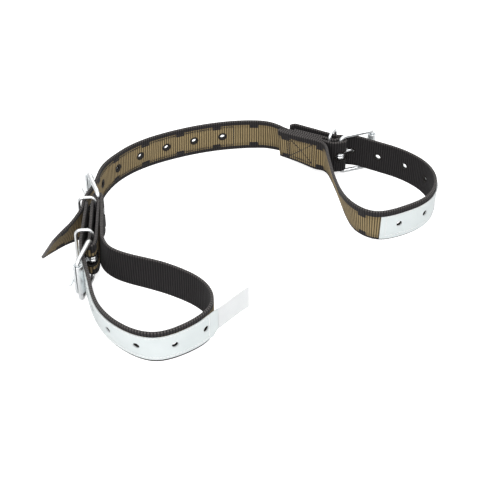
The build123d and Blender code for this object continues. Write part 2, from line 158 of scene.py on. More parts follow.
def smoothed(points, reach):
    """Points evened out over a number of neighbours, with both ends kept."""
    offsets = np.arange(-3 * reach, 3 * reach + 1)
    weight = np.exp(-0.5 * (offsets / reach) ** 2)
    weight /= weight.sum()
    first, last = points[0], points[-1]
    before = 2 * first - points[1 : 3 * reach + 1][::-1]
    after = 2 * last - points[-3 * reach - 1 : -1][::-1]
    padded = np.concatenate([before, points, after])
    columns = [np.convolve(column, weight, "valid") for column in padded.T]
    return np.stack(columns, axis=1)


def left_normals(points):
    way = np.gradient(points, axis=0)
    way /= np.linalg.norm(way, axis=1)[:, None]
    return np.stack([-way[:, 1], way[:, 0]], axis=1)


class Line:
    """A strap's centre line seen from above, with how it leans, strays and rises along the way."""

    def __init__(self, points):
        self.points = even(points, POINT_STEP)
        self.normals = left_normals(self.points)
        steps = np.linalg.norm(np.diff(self.points, axis=0), axis=1)
        self.along = np.concatenate([[0], np.cumsum(steps)])
        self.length = self.along[-1]
        self.slope = np.zeros((len(self.along), 2))
        self.stray = np.zeros((len(self.along), 2))
        self.rise = np.zeros(len(self.along))

    def at(self, along):
        normal = self.between(along, self.normals)
        normal /= np.maximum(np.linalg.norm(normal, axis=-1, keepdims=True), 1e-9)
        return self.between(along, self.points), normal

    def way_at(self, along):
        normal = self.at(along)[1]
        return np.array([normal[1], -normal[0]])

    def nearest(self, place):
        away = np.linalg.norm(self.points - np.array(place)[:2], axis=1)
        return self.along[int(away.argmin())]

    def bend(self, begin, knots):
        """Adds knots: millimetres past begin, degrees of lean, then stray and rise in millimetres.

        Lean and stray are to the left."""
        knots = np.array(knots, float)
        places = begin + knots[:, 0] * MM
        lean = np.interp(self.along, places, np.radians(knots[:, 1]))
        stray = np.interp(self.along, places, knots[:, 2] * MM)
        self.slope += self.normals * np.sin(lean)[:, None]
        self.stray += self.normals * stray[:, None]
        self.rise += np.interp(self.along, places, knots[:, 3] * MM)

    def settle(self):
        """Rounds off the knots' corners."""
        self.slope = smoothed(self.slope, 20)
        self.stray = smoothed(self.stray, 20)
        self.rise = smoothed(self.rise[:, None], 20)[:, 0]

    def follow(self, parent):
        """Takes the leans of the strap that this one lies on."""
        nearest = [parent.nearest(place) for place in self.points[::5]]
        places = np.interp(self.along, self.along[::5], nearest)
        for axis in range(2):
            self.slope[:, axis] = np.interp(places, parent.along, parent.slope[:, axis])
            self.stray[:, axis] = np.interp(places, parent.along, parent.stray[:, axis])
        self.rise = np.interp(places, parent.along, parent.rise)

    def between(self, along, values):
        """Values kept for every point of the line, read off at other places."""
        return np.stack([np.interp(along, self.along, column) for column in values.T], axis=-1)

    def space(self, along, height, offset):
        """Points at a distance along, a height above the floor and an offset to the left."""
        place, normal = self.at(along)
        slope = self.between(along, self.slope)
        stray = self.between(along, self.stray)
        up = height - WEB_MIDDLE
        across = (slope * normal).sum(axis=-1)
        outward = np.sqrt(1 - across**2) * offset
        flat = place + stray + slope * up[..., None] + normal * outward[..., None]
        upright = np.sqrt(1 - (slope**2).sum(axis=-1))
        level = WEB_MIDDLE + np.interp(along, self.along, self.rise)
        level = level + upright * up - across * offset
        return np.concatenate([flat, level[..., None]], axis=-1)

    def outward(self, along, side):
        """The way that a face looks: side is 1 for the left face and -1 for the right one."""
        normal = self.at(along)[1]
        across = float((self.between(along, self.slope) * normal).sum())
        flat = side * math.sqrt(1 - across**2)
        return (normal[0] * flat, normal[1] * flat, -side * across)


def side_line(node, thickness, level, begin, side):
    """Centre line of a strap from one side of its outline, starting at the end nearest to begin."""
    loop = outline_loop(node, level)
    ends = end_edges(loop, thickness)
    if len(ends) != 2:
        raise ValueError(f"{node} has {len(ends)} square ends: {loop[ends]}")
    first, second = ends
    beyond = np.concatenate([loop[second + 1 :], loop[: first + 1]])
    halves = [loop[first + 1 : second + 1], beyond]
    begin = np.array(begin)
    runs = []
    for half in halves:
        if np.linalg.norm(half[0] - begin) > np.linalg.norm(half[-1] - begin):
            half = half[::-1]
        runs.append(half)
    fine = [even(run, 0.1 * MM) for run in runs]
    way = fine[0][5] - fine[0][0]
    across = fine[1][0] - fine[0][0]
    first_is_right = way[0] * across[1] - way[1] * across[0] > 0
    chosen = fine[0] if first_is_right == (side < 0) else fine[1]
    chosen = smoothed(chosen, 4)
    centre = chosen - left_normals(chosen) * side * thickness / 2
    return Line(smoothed(centre, 3))


HOLE_RADIUS = 3.2 * MM
EYE_SLOT_HALF = 5.5 * MM
TONGUE_HOLE_RADIUS = 2.2 * MM
MELTED_HOLE_RADIUS = 2.7 * MM
# Width of the dark rims round the centre strap's holes: melted scorch and painted shade of the
# walls.
MELTED_AND_SHADED_RIM = 2.5 * MM


def cut_walls(node, line, thick, until):
    """Spans along a line of the walls that cuts leave through a strap, and how high they reach."""
    mesh = frame["nodes"][node].data
    places = np.array([v.co for v in mesh.vertices])
    found = []
    for polygon in mesh.polygons:
        corners = places[list(polygon.vertices)]
        rise = np.abs(corners[:, 2] - WEB_MIDDLE).max()
        if rise > EYE_SLOT_HALF * 1.01:
            continue
        middle = corners.mean(axis=0)[:2]
        if line.nearest(middle) > until:
            continue
        if np.linalg.norm(line.points - middle, axis=1).min() < 0.4 * thick:
            found += [(line.nearest(corner), rise) for corner in corners]
    found.sort()
    spans = []
    for along, rise in found:
        if spans and along - spans[-1][1] < 5 * MM:
            spans[-1][1] = along
            spans[-1][2] = max(spans[-1][2], rise)
        else:
            spans.append([along, along, rise])
    return spans


def holes_of(node, line, thick=WEB_THICK, until=1.0):
    """Each cut as its place along the line, half its straight length and its radius."""
    cuts = []
    for first, last, rise in cut_walls(node, line, thick, until):
        radius = EYE_SLOT_HALF if rise > HOLE_RADIUS * 1.2 else HOLE_RADIUS
        straight = (last - first) / 2 - radius
        if straight > 1 * MM and radius == HOLE_RADIUS:
            radius = TONGUE_HOLE_RADIUS
            straight = (last - first) / 2 - radius
        cuts.append(((first + last) / 2, straight if straight > 1 * MM else 0.0, radius))
    return cuts


# ------------------------------------------------------------------ sheets of material
def hole_distance(along, height, hole):
    """Distance outside a round-ended hole; below zero inside it."""
    middle, straight, radius = hole
    beyond = np.maximum(np.abs(along - middle) - straight, 0)
    return np.hypot(beyond, height - WEB_MIDDLE) - radius


def snapped(along, height, hole):
    """The nearest places on a hole's rim."""
    middle, straight, radius = hole
    core = middle + np.clip(along - middle, -straight, straight)
    a, h = along - core, height - WEB_MIDDLE
    size = np.maximum(np.hypot(a, h), 1e-9)
    return core + a / size * radius, WEB_MIDDLE + h / size * radius


def rows_between(low, high, fine_half):
    """Heights across a strap, closer together around its row of holes."""
    fine = np.arange(-fine_half, fine_half + 1e-9, 0.6 * MM) + WEB_MIDDLE
    below = np.linspace(low, fine[0], 10)[:-1]
    above = np.linspace(fine[-1], high, 10)[1:]
    return np.concatenate([below, fine, above])


def new_object(name, places, faces, materials, tags):
    mesh = bpy.data.meshes.new(name)
    mesh.from_pydata(places.tolist(), [], faces)
    for material in materials:
        mesh.materials.append(material)
    mesh.polygons.foreach_set("material_index", tags)
    mesh.polygons.foreach_set("use_smooth", [True] * len(mesh.polygons))
    mesh.update()
    piece = bpy.data.objects.new(name, mesh)
    bpy.context.scene.collection.objects.link(piece)
    return piece


def tag_points(piece, name, values):
    layer = piece.data.attributes.new(name, "FLOAT", "POINT")
    layer.data.foreach_set("value", np.asarray(values, np.float32))


def sheet(
    name, line, span, low, high, thick, cuts, rib, materials, step=ALONG_STEP, trim=None, flipped=()
):
    """A strap or strip: a sheet of even thickness along a line, with rounded edges and real holes.

    materials are those of the left face, the right face, the edges and the holes' walls. trim says
    how far the lower edge is drawn up at each place, and the faces change over in a flipped span."""
    start, end = span
    count = int(math.ceil((end - start) / step))
    along = np.linspace(start, end, count + 1)
    round_off = min(thick / 2, 1.2 * MM)
    rows = rows_between(low + round_off, high - round_off, EYE_SLOT_HALF + 0.6 * MM)
    half = thick / 2
    arc = np.linspace(-90, 90, 9)[1:-1]
    section = [(half, h) for h in rows]
    for angle in np.radians(arc):
        level = high - round_off + round_off * math.cos(angle)
        section.append((-half * math.sin(angle), level))
    section += [(-half, h) for h in rows[::-1]]
    for angle in np.radians(arc):
        level = low + round_off - round_off * math.cos(angle)
        section.append((half * math.sin(angle), level))
    m, r = len(section), len(rows)
    n = count + 1
    out = np.array([s[0] for s in section])
    height = np.array([s[1] for s in section])
    along_grid = np.repeat(along[:, None], m, axis=1)
    height_grid = np.repeat(height[None, :], n, axis=0)
    if trim:
        raised = trim(along_grid)
        firm = WEB_MIDDLE - EYE_SLOT_HALF - 1.0 * MM
        share = np.clip((firm - height_grid) / (firm - low), 0, 1)
        height_grid = height_grid + raised * share
    out_grid = np.repeat(out[None, :], n, axis=0)

    front = np.arange(r)
    back = np.arange(r)[::-1] + r + len(arc)
    gone = np.zeros((n - 1, r - 1), bool)
    for hole in cuts:
        if hole[0] + hole[1] + hole[2] < start or hole[0] - hole[1] - hole[2] > end:
            continue
        cell_along = (along[:-1] + along[1:])[:, None] / 2
        cell_height = (rows[:-1] + rows[1:])[None, :] / 2
        inside = hole_distance(cell_along, cell_height, hole) < 0
        gone |= inside
        touched = np.zeros((n, r), bool)
        whole = np.zeros((n, r), bool)
        whole[:-1, :-1] |= ~inside
        whole[1:, :-1] |= ~inside
        whole[:-1, 1:] |= ~inside
        whole[1:, 1:] |= ~inside
        touched[:-1, :-1] |= inside
        touched[1:, :-1] |= inside
        touched[:-1, 1:] |= inside
        touched[1:, 1:] |= inside
        rim = touched & whole
        where = np.nonzero(rim)
        new_along, new_height = snapped(along[where[0]], rows[where[1]], hole)
        for columns in (front, back):
            along_grid[where[0], columns[where[1]]] = new_along
            height_grid[where[0], columns[where[1]]] = new_height
    if rib:
        wave = 0.5 + 0.5 * np.cos(2 * np.pi * along_grid / RIB_PITCH)
        out_grid = out_grid * (1 - rib / half * wave)
    places = line.space(along_grid, height_grid, out_grid)

    faces, tags = [], []
    index = np.arange(n * m).reshape(n, m)
    for k in range(m):
        following = (k + 1) % m
        if k < r - 1:
            keep, tag = ~gone[:, k], 0
        elif back[-1] <= k < back[0]:
            keep, tag = ~gone[:, back[0] - k - 1], 1
        else:
            keep, tag = np.ones(n - 1, bool), 2
        here = np.nonzero(keep)[0]
        quads = np.stack(
            [
                index[here, k], index[here, following],
                index[here + 1, following], index[here + 1, k],
            ], 1
        )
        faces += quads.tolist()
        between = (along[here] + along[here + 1]) / 2
        for place in between:
            over = tag < 2 and any(first < place < last for first, last in flipped)
            tags.append(1 - tag if over else tag)
    faces.append(index[0, ::-1].tolist())
    faces.append(index[-1, :].tolist())
    tags += [2, 2]
    wall_faces = hole_walls(gone, index, front, back)
    faces += wall_faces
    tags += [3] * len(wall_faces)
    used = np.unique(np.concatenate([np.array(f) for f in faces]))
    renumber = -np.ones(n * m, int)
    renumber[used] = np.arange(len(used))
    faces = [[int(renumber[v]) for v in face] for face in faces]
    flat = places.reshape(-1, 3)[used]
    piece = new_object(name, flat, faces, materials, tags)
    tag_points(piece, "along", along_grid.ravel()[used])
    tag_points(piece, "height", height_grid.ravel()[used] - WEB_LOW)
    ring = np.full(n * m, 1.0)
    for hole in cuts:
        ring = np.minimum(ring, hole_distance(along_grid.ravel(), height_grid.ravel(), hole))
    tag_points(piece, "ring", ring[used])
    return piece


def hole_walls(gone, index, front, back):
    """Quads that join the front and back rims of the removed cells."""
    walls = []
    n1, r1 = gone.shape
    for i, j in zip(*np.nonzero(gone)):
        for di, dj, a, b in (
            (-1, 0, (0, 1), (0, 0)),
            (1, 0, (1, 0), (1, 1)),
            (0, -1, (0, 0), (1, 0)),
            (0, 1, (1, 1), (0, 1)),
        ):
            u, v = i + di, j + dj
            if 0 <= u < n1 and 0 <= v < r1 and gone[u, v]:
                continue
            p = index[i + a[0], front[j + a[1]]], index[i + b[0], front[j + b[1]]]
            q = index[i + b[0], back[j + b[1]]], index[i + a[0], back[j + a[1]]]
            walls.append([p[0], p[1], q[0], q[1]])
    return walls


def stitches(name, runs, material):
    """Short rounded stitches, each run a list of points on the surface with their outward way."""
    places, faces = [], []
    ring = 6
    for start, end, out in runs:
        start, end, out = Vector(start), Vector(end), Vector(out).normalized()
        way = (end - start).normalized()
        side = way.cross(out).normalized()
        base = len(places)
        shares = (0.0, 0.12, 0.35, 0.65, 0.88, 1.0)
        swell = (0.35, 0.8, 1.0, 1.0, 0.8, 0.35)
        rise = (-0.9, -0.1, 0.45, 0.45, -0.1, -0.9)
        for share, size, lift in zip(shares, swell, rise):
            middle = start.lerp(end, share) + out * lift * STITCH_RADIUS
            for step in range(ring):
                turn = 2 * math.pi * step / ring
                around = side * math.cos(turn) + out * math.sin(turn)
                places.append(middle + around * STITCH_RADIUS * size)
        for level in range(len(shares) - 1):
            for step in range(ring):
                a = base + level * ring + step
                b = base + level * ring + (step + 1) % ring
                faces.append([a, b, b + ring, a + ring])
        faces.append([base + step for step in reversed(range(ring))])
        last = base + (len(shares) - 1) * ring
        faces.append([last + step for step in range(ring)])
    places = np.array([tuple(place) for place in places])
    return new_object(name, places, faces, [material], [0] * len(faces))


def row_of_stitches(line, start, end, height, offset):
    """Stitches along a strap at one height, on the face at an offset from its middle."""
    count = int((end - start) / STITCH_PITCH)
    runs = []
    for step in range(count):
        first = start + step * STITCH_PITCH
        places = np.array([first, first + STITCH_LENGTH])
        near, far = line.space(places, np.array([height] * 2), np.array([offset] * 2))
        runs.append((near, far, line.outward(first + STITCH_LENGTH / 2, np.sign(offset))))
    return runs


def column_of_stitches(line, along, low, high, offset):
    """Stitches up a strap at one place along it."""
    count = int((high - low) / STITCH_PITCH)
    spare = (high - low - count * STITCH_PITCH + STITCH_PITCH - STITCH_LENGTH) / 2
    runs = []
    for step in range(count):
        first = low + spare + step * STITCH_PITCH
        heights = np.array([first, first + STITCH_LENGTH])
        near, far = line.space(np.array([along] * 2), heights, np.array([offset] * 2))
        runs.append((near, far, line.outward(along, np.sign(offset))))
    return runs


def slanted_stitches(line, first, last, offset):
    """Stitches between two places on a strap, each given as along and height."""
    first, last = np.array(first), np.array(last)
    count = int(round(np.linalg.norm(last - first) / STITCH_PITCH))
    runs = []
    for step in range(count):
        share = np.array([step, step + STITCH_LENGTH / STITCH_PITCH]) / count
        along = first[0] + (last[0] - first[0]) * share
        height = first[1] + (last[1] - first[1]) * share
        near, far = line.space(along, height, np.array([offset] * 2))
        runs.append((near, far, line.outward(along[0], np.sign(offset))))
    return runs


def rolled_tube(name, node, material):
    """A roller: thin sheet rolled round until its two edges nearly meet."""
    low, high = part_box(node)
    centre = (low + high) / 2
    outer = (high.x - low.x) / 2
    inner = outer - ROLLER_WALL
    lip = ROLLER_WALL * 0.35
    section = [
        (outer - lip, low.z), (outer - lip * 0.3, low.z + lip * 0.3), (outer, low.z + lip),
        (outer, high.z - lip), (outer - lip * 0.3, high.z - lip * 0.3), (outer - lip, high.z),
        (inner + lip, high.z), (inner, high.z - lip), (inner, low.z + lip), (inner + lip, low.z),
    ]
    first_turn = ROLLER_SEAM + ROLLER_GAP / 2
    last_turn = ROLLER_SEAM + 360 - ROLLER_GAP / 2
    turns = np.radians(np.linspace(first_turn, last_turn, 73))
    places = []
    for turn in turns:
        for radius, z in section:
            x = centre.x + radius * math.cos(turn)
            y = centre.y + radius * math.sin(turn)
            places.append((x, y, z))
    m = len(section)
    faces = []
    for ring in range(len(turns) - 1):
        for k in range(m):
            a, b = ring * m + k, ring * m + (k + 1) % m
            faces.append([a, a + m, b + m, b])
    faces.append(list(range(m)))
    last = (len(turns) - 1) * m
    faces.append([last + k for k in reversed(range(m))])
    piece = new_object(name, np.array(places), faces, [material], [0] * len(faces))
    piece.data.polygons[len(faces) - 2].use_smooth = False
    piece.data.polygons[len(faces) - 1].use_smooth = False
    return piece


# ------------------------------------------------------------------ materials
def opaque(colour):
    """A plain colour with full alpha; a socket is left as it is."""
    return colour if isinstance(colour, bpy.types.NodeSocket) else (*colour, 1)


class Shader:
    """Builds a material's nodes from sums and mixes."""

    def __init__(self, name):
        self.material = bpy.data.materials.new(name)
        self.material.use_nodes = True
        self.tree = self.material.node_tree
        self.surface = self.tree.nodes["Principled BSDF"]

    def put(self, socket, value):
        if isinstance(value, bpy.types.NodeSocket):
            self.tree.links.new(value, socket)
        else:
            socket.default_value = value

    def math(self, operation, *values):
        node = self.tree.nodes.new("ShaderNodeMath")
        node.operation = operation
        for socket, value in zip(node.inputs, values):
            self.put(socket, value)
        return node.outputs[0]

    def mix(self, share, first, second):
        node = self.tree.nodes.new("ShaderNodeMix")
        node.data_type = "RGBA"
        self.put(node.inputs[0], share)
        self.put(node.inputs[6], opaque(first))
        self.put(node.inputs[7], opaque(second))
        return node.outputs[2]

    def attribute(self, name):
        node = self.tree.nodes.new("ShaderNodeAttribute")
        node.attribute_name = name
        return node.outputs["Fac"]

    def where(self):
        return self.tree.nodes.new("ShaderNodeTexCoord").outputs["Object"]

    def noise(self, vector, scale, detail=2.0):
        node = self.tree.nodes.new("ShaderNodeTexNoise")
        node.inputs["Scale"].default_value = scale
        node.inputs["Detail"].default_value = detail
        self.tree.links.new(vector, node.inputs["Vector"])
        return node.outputs["Fac"]

    def vector(self, x, y, z):
        node = self.tree.nodes.new("ShaderNodeCombineXYZ")
        for socket, value in zip(node.inputs, (x, y, z)):
            self.put(socket, value)
        return node.outputs[0]

    def step(self, value, edge, soft):
        """Rises from 0 to 1 as value passes edge, over a soft band."""
        past = self.math("DIVIDE", self.math("SUBTRACT", value, edge), soft)
        return self.clamp(self.math("ADD", past, 0.5))

    def clamp(self, value):
        node = self.tree.nodes.new("ShaderNodeClamp")
        self.put(node.inputs[0], value)
        return node.outputs[0]

    def wave(self, value, pitch, phase=0.0):
        """A cosine between 0 and 1, 1 at the crest."""
        turn = self.math("MULTIPLY", value, 2 * math.pi / pitch)
        turn = self.math("ADD", turn, phase)
        return self.math("MULTIPLY_ADD", self.math("COSINE", turn), 0.5, 0.5)

    def bump(self, height, distance, strength=1.0):
        node = self.tree.nodes.new("ShaderNodeBump")
        node.inputs["Distance"].default_value = distance
        node.inputs["Strength"].default_value = strength
        self.tree.links.new(height, node.inputs["Height"])
        self.tree.links.new(node.outputs[0], self.surface.inputs["Normal"])

    def finish(self, colour, roughness, metallic=0.0, sheen=0.0, specular=0.5):
        self.put(self.surface.inputs["Base Color"], opaque(colour))
        self.put(self.surface.inputs["Roughness"], roughness)
        self.put(self.surface.inputs["Metallic"], metallic)
        self.put(self.surface.inputs["Sheen Weight"], sheen)
        self.put(self.surface.inputs["Specular IOR Level"], specular)
        return self.material


# Rib colours: the crests are painted lighter as painted highlights and the valleys darker as painted
# shade.
BLACK_RIB_LIT = (0.030, 0.027, 0.028)
BLACK_VALLEY_SHADED = (0.004, 0.0037, 0.004)
OLIVE_RIB_LIT = (0.36, 0.27, 0.135)
OLIVE_VALLEY_SHADED = (0.034, 0.026, 0.015)
# Dark rims round the holes: melted scorch and painted shade of the holes' walls.
SCORCH_AND_SHADE = (0.010, 0.008, 0.007)


def strap_noise(g, along, height, along_scale, height_scale, seed):
    """Noise laid along a strap, with its own scale each way."""
    across = g.math("MULTIPLY", height, height_scale)
    place = g.vector(g.math("MULTIPLY", along, along_scale), across, seed)
    return g.noise(place, 1.0)


def webbing(name, notch_at=None, dark_rim_width=1.5 * MM, lowered=0.0):
    """Crosswise ribbed webbing: plain black, or olive with black borders notched at even places.

    The third argument is the width of the holes' dark rims, partly melted scorch and partly painted
    shade of the holes' walls; lowered moves the olive part down."""
    g = Shader(name)
    along, height = g.attribute("along"), g.attribute("height")
    waver = strap_noise(g, along, height, 260.0, 900.0, 0.0)
    shifted = g.math("MULTIPLY_ADD", g.math("SUBTRACT", waver, 0.5), 0.35 * MM, along)
    rib = g.wave(shifted, RIB_PITCH, math.pi)
    yarn = g.wave(height, YARN_PITCH)
    fleck = strap_noise(g, along, height, 2400.0, 2400.0, 3.0)
    # The rib crests get painted highlights and the valleys between them painted shade.
    lit = g.math("POWER", rib, 0.9)
    lit = g.math("MULTIPLY", lit, g.math("MULTIPLY_ADD", fleck, 0.6, 0.7))
    lit = g.clamp(g.math("MULTIPLY", lit, g.math("MULTIPLY_ADD", yarn, 0.18, 0.86)))
    black = g.mix(lit, BLACK_VALLEY_SHADED, BLACK_RIB_LIT)
    colour = black
    if notch_at is not None:
        level = g.math("ADD", height, lowered)
        from_edge = g.math("MINIMUM", level, g.math("SUBTRACT", WEB_WIDTH, level))
        place = g.math("ADD", along, 100.5 * NOTCH_PITCH - notch_at)
        cycle = g.math("MODULO", place, NOTCH_PITCH)
        from_notch = g.math("ABSOLUTE", g.math("SUBTRACT", cycle, NOTCH_PITCH / 2))
        in_notch = g.math("SUBTRACT", 1.0, g.step(from_notch, NOTCH_LENGTH / 2, 0.3 * MM))
        edge = g.math("MULTIPLY_ADD", in_notch, NOTCH_DEPTH, BORDER)
        inner = g.step(g.math("SUBTRACT", from_edge, edge), 0.0, 0.4 * MM)
        # Beside the borders the olive yarn is crossed by fine black lines
        beyond = g.step(from_edge, BORDER + NOTCH_DEPTH - 0.4 * MM, 0.5 * MM)
        crossed = g.math("SUBTRACT", 1.0, beyond)
        line = g.math("POWER", g.wave(from_edge, 1.35 * MM, 0.6), 1.5)
        lines = g.math("MULTIPLY", g.math("MULTIPLY", crossed, line), 0.55)
        shade = g.math("SUBTRACT", 1.0, lines)
        cloud = strap_noise(g, along, height, 60.0, 60.0, 0.0)
        tone = g.math("MULTIPLY", lit, g.math("MULTIPLY_ADD", cloud, 0.3, 0.85))
        olive = g.mix(g.math("MULTIPLY", tone, shade), OLIVE_VALLEY_SHADED, OLIVE_RIB_LIT)
        colour = g.mix(inner, black, olive)
    # Around the holes the webbing is darkened: partly real scorch of the melted rims, partly painted
    # shade of the holes' walls.
    scorch_and_shade = g.math("SUBTRACT", 1.0, g.step(g.attribute("ring"), dark_rim_width, 0.9 * MM))
    colour = g.mix(scorch_and_shade, colour, SCORCH_AND_SHADE)
    relief = g.math("MULTIPLY_ADD", yarn, 0.25, g.math("MULTIPLY", fleck, 0.5))
    relief = g.math("ADD", relief, g.math("MULTIPLY", rib, 0.8))
    g.bump(relief, 0.12 * MM, 0.8)
    return g.finish(colour, 0.82, sheen=0.06, specular=0.2)


def selvedge():
    """The narrow woven edge of the webbing, with the turns of the weft painted as lighter dots:
    painted highlights on their crests and painted shade between them.
    """
    g = Shader("selvedge")
    rib = g.wave(g.attribute("along"), RIB_PITCH, math.pi)
    fleck = g.noise(g.where(), 2600.0)
    # The weft turns get painted highlights and the gaps between them painted shade.
    tone = g.math("MULTIPLY", rib, g.math("MULTIPLY_ADD", fleck, 1.0, 0.3))
    colour = g.mix(g.clamp(tone), (0.012, 0.011, 0.011), (0.110, 0.100, 0.097))
    g.bump(g.math("ADD", rib, fleck), 0.15 * MM, 0.7)
    return g.finish(colour, 0.85, sheen=0.12, specular=0.2)


def white_strip():
    """Smooth white coated sheet, a little uneven, with faint hollows under the stitching."""
    g = Shader("strip_white")
    where = g.where()
    cloud = g.noise(where, 45.0)
    grain = g.noise(where, 900.0)
    colour = g.mix(cloud, (0.60, 0.65, 0.655), (0.70, 0.745, 0.745))
    height = g.attribute("height")
    from_middle = g.math("ABSOLUTE", g.math("SUBTRACT", height, WEB_WIDTH / 2))
    from_row = g.math("ABSOLUTE", g.math("SUBTRACT", from_middle, ROW_HIGH - WEB_MIDDLE))
    groove = g.step(from_row, 0.7 * MM, 1.0 * MM)
    dents = g.math("MULTIPLY_ADD", cloud, 0.5, g.math("MULTIPLY", grain, 0.12))
    g.bump(g.math("ADD", dents, groove), 0.35 * MM, 0.5)
    return g.finish(colour, 0.36, specular=0.5)


def cut_edge():
    """The cut rim of the white sheet."""
    g = Shader("strip_edge")
    grain = g.noise(g.where(), 1500.0)
    g.bump(grain, 0.1 * MM, 0.5)
    return g.finish(g.mix(grain, (0.48, 0.51, 0.51), (0.62, 0.65, 0.65)), 0.6)


def zinc(name, roughness, streak):
    """Bright zinc plating with fine draw marks and faint clouds."""
    g = Shader(name)
    where = g.where()
    cloud = g.noise(where, 90.0, 3.0)
    fine = g.noise(where, streak, 3.0)
    colour = g.mix(cloud, (0.82, 0.85, 0.865), (0.95, 0.96, 0.965))
    rough = g.math("MULTIPLY_ADD", cloud, 0.10, roughness - 0.05)
    g.bump(fine, 0.006 * MM, 0.3)
    return g.finish(colour, rough, metallic=1.0)


def thread(name, dark, light):
    """Twisted sewing thread."""
    g = Shader(name)
    twist = g.noise(g.where(), 3500.0)
    g.bump(twist, 0.08 * MM, 0.8)
    return g.finish(g.mix(twist, dark, light), 0.7, sheen=0.2, specular=0.3)


def woven_tag():
    """Thin white satin tape."""
    g = Shader("tag_white")
    warp = g.wave(g.attribute("height"), 0.5 * MM)
    weft = g.wave(g.attribute("along"), 0.45 * MM)
    weave = g.math("MULTIPLY", warp, weft)
    cloud = g.noise(g.where(), 90.0)
    tone = g.math("MULTIPLY_ADD", cloud, 0.5, g.math("MULTIPLY", weave, 0.3))
    colour = g.mix(tone, (0.66, 0.68, 0.69), (0.80, 0.81, 0.81))
    g.bump(weave, 0.05 * MM, 0.4)
    return g.finish(colour, 0.55, sheen=0.2)


# ------------------------------------------------------------------ lines from the frame
def joint_place(name):
    """A point on a joint's axis."""
    joint = next(joint for joint in frame["joints"] if joint["name"] == name)
    return Vector(joint["pos_m"])


def bezier(first, first_arm, last_arm, last, count=120):
    """Points on a cubic curve between two ends."""
    t = np.linspace(0, 1, count)[:, None]
    return (
        (1 - t) ** 3 * first + 3 * (1 - t) ** 2 * t * first_arm
        + 3 * (1 - t) * t**2 * last_arm + t**3 * last
    )


TAIL_HEADING = -126
TAIL_FIRST_ARM = 8 * MM
TAIL_LAST_ARM = 25 * MM


def tail_points(start):
    """Centre line of the leaning free end, from the last upright place to the tip."""
    heading = math.radians(TAIL_HEADING)
    way = np.array([math.cos(heading), math.sin(heading)])
    corners = np.array([v.co for v in frame["nodes"]["centre_buckle_end"].data.vertices])
    reach = corners[:, :2] @ way
    tip = corners[reach > reach.max() - 0.05 * MM][:, :2]
    tip = (tip.min(axis=0) + tip.max(axis=0)) / 2
    return bezier(start, start + np.array([0, -TAIL_FIRST_ARM]), tip - way * TAIL_LAST_ARM, tip)


# Each line starts at the strap's end that is nearest to a place on the floor
left_line = side_line("left_cuff_strap", WEB_THICK, WEB_LOW, (-0.1600, 0.0210), 1)
right_line = side_line("right_cuff_strap", WEB_THICK, WEB_LOW, (0.0590, 0.1560), -1)
sewn_line = side_line("centre_sewn_end", WEB_THICK, WEB_LOW, (0.0880, 0.1400), 1)
arc_line = side_line("centre_strap", WEB_THICK, WEB_LOW, (0.0380, 0.1700), 1)
run_line = side_line("centre_buckle_end", WEB_THICK, WEB_LOW, (-0.1570, 0.0720), 1)
tail = tail_points(run_line.points[-1])
centre_points = np.concatenate([sewn_line.points, arc_line.points, run_line.points, tail[1:]])
centre_line = Line(smoothed(even(centre_points, POINT_STEP), 6))

right_flex, left_flex = joint_place("right_flex"), joint_place("left_flex")
arc_start, arc_end = centre_line.nearest(right_flex), centre_line.nearest(left_flex)
run_end = centre_line.nearest(run_line.points[-1])
left_loop_start = left_line.length - LEFT_LOOP_LENGTH
right_loop_start = right_line.length - RIGHT_LOOP_LENGTH

turn_span = right_line.points[: len(right_line.points) // 3]
stack_end = turn_span[np.argmin(turn_span[:, 0])]
stack_way = right_line.way_at(right_loop_start - 20 * MM)
# Millimetres from the stack's outer end, degrees of lean and millimetres of stray
STACK_LEAN = [(0, 10.5, 2.4), (20, 8.4, 1.6), (34, 4.5, 0.8), (44, 0, 0)]


def lean_stack(line, first, last):
    """The layers of the right stack all lean to the near side, most at the stack's outer end."""
    past = (line.points - stack_end) @ stack_way
    knots = np.array(STACK_LEAN)
    share = ((line.along >= first) & (line.along <= last)).astype(float)[:, None]
    lean = np.interp(past, knots[:, 0] * MM, np.radians(knots[:, 1]))
    stray = np.interp(past, knots[:, 0] * MM, knots[:, 2] * MM)
    away = np.array([-stack_way[1], stack_way[0]])
    line.slope += -away * np.sin(lean)[:, None] * share
    line.stray += away * stray[:, None] * share


lean_stack(centre_line, 0, arc_start)
centre_line.bend(
    arc_start,
    [
        (-0.3, 0, 0, 0), (0, 9, -1.8, 0), (25, 5, 0.2, 0), (50, 3.5, 0.6, 0),
        (200, 3.5, 0.6, 0), (225, 0, 0, 0),
    ],
)
centre_line.bend(run_end, [(0, 0, 0, 0), (8, 6, 0, -0.5), (25, 22, 0, -2), (55, 33, 0, -5)])
left_line.bend(
    left_loop_start,
    [
        (-40, 0, 0, 0), (-32, 6, -1, 0), (-12, 6, -1, 0), (0, 5, 0.5, 0),
        (15, 3, 0, 0), (30, -2, -1, 0), (60, -2, -1, 0), (90, 0, 0.3, 0),
        (185, 0, 0, 0), (205, 2.5, 1.8, 0), (230, 5, 1.6, 0), (255, 7.5, 0.8, 0),
        (280, 8, 0.4, 0), (310, 6, -0.6, 0), (335, 1.5, 0, 0), (350, 0, 0, 0),
    ],
)
lean_stack(right_line, 0, right_loop_start)
right_line.bend(
    right_loop_start,
    [
        (-1, 0, 0, 0), (0, -4, 0.3, 0), (15, -8, 1.2, 0), (30, -12, 1, 0),
        (45, -14, 1, 0), (60, -16, 0.8, 0), (80, -16, 1.5, 0), (100, -14, 2.2, 0),
        (120, -10, 2.2, 0), (140, -9, 2, 0), (160, -4, 2.1, 0), (180, -1.5, 1.8, 0),
        (220, -2, 2, 0), (300, 0, 3, 0), (340, 0, 0.7, 0), (350, 0, 0, 0),
    ],
)
for line in (centre_line, left_line, right_line):
    line.settle()

